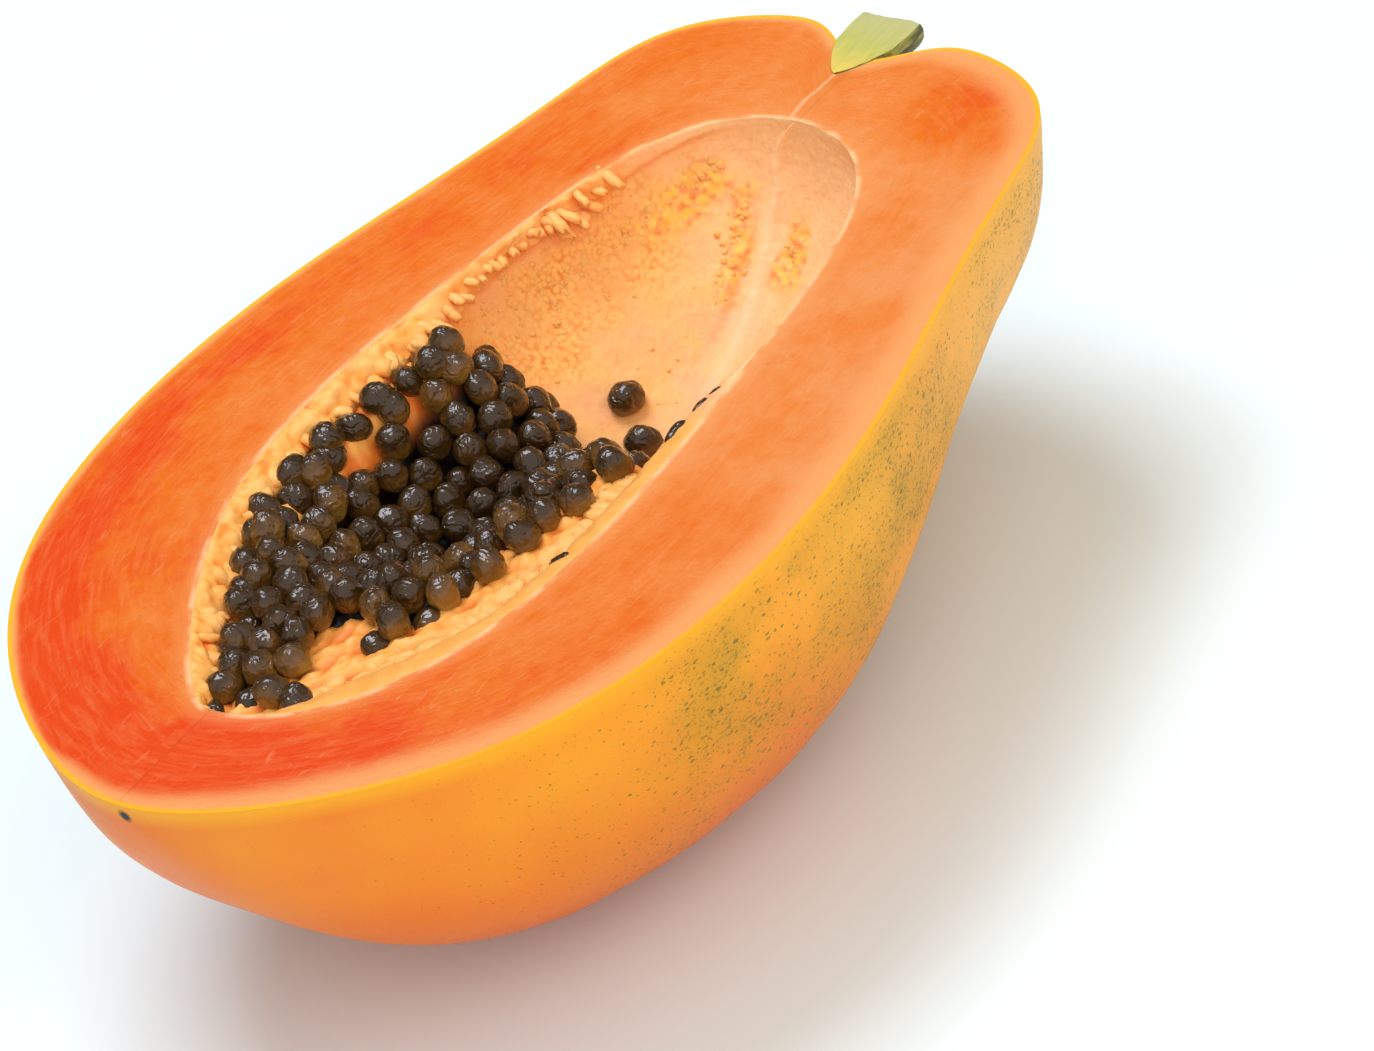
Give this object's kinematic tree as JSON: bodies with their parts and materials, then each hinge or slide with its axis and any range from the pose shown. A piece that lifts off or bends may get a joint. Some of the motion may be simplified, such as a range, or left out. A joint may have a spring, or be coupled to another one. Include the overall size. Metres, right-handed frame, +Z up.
{
  "type": "papaya half",
  "caption": "Ripe papaya cut in half lengthwise and lying on its back, with a heap of dark seeds in an open cavity and half of its short stem.",
  "frame": {"origin": "middle of the small flat spot that the rounded back rests on, below the centre of mass", "axes": "+X lengthwise from the blossom end to the stem end, +Y across the fruit, +Z up, square to the cut face"},
  "size_m": [0.2105, 0.1412, 0.0735],
  "materials": {
    "flesh_and_skin": "moist orange-red cut flesh inside an orange-yellow waxy skin with fine olive flecks",
    "seeds": "wet, wrinkled, brown-black in a clear olive-brown coat",
    "stem": "dry, pale green cut surface with a grey-green rind"
  },
  "bodies": {
    "root": {"papaya_half": "flesh_and_skin", "seed_heap": "seeds", "stem_stub": "stem"}
  },
  "joints": []
}
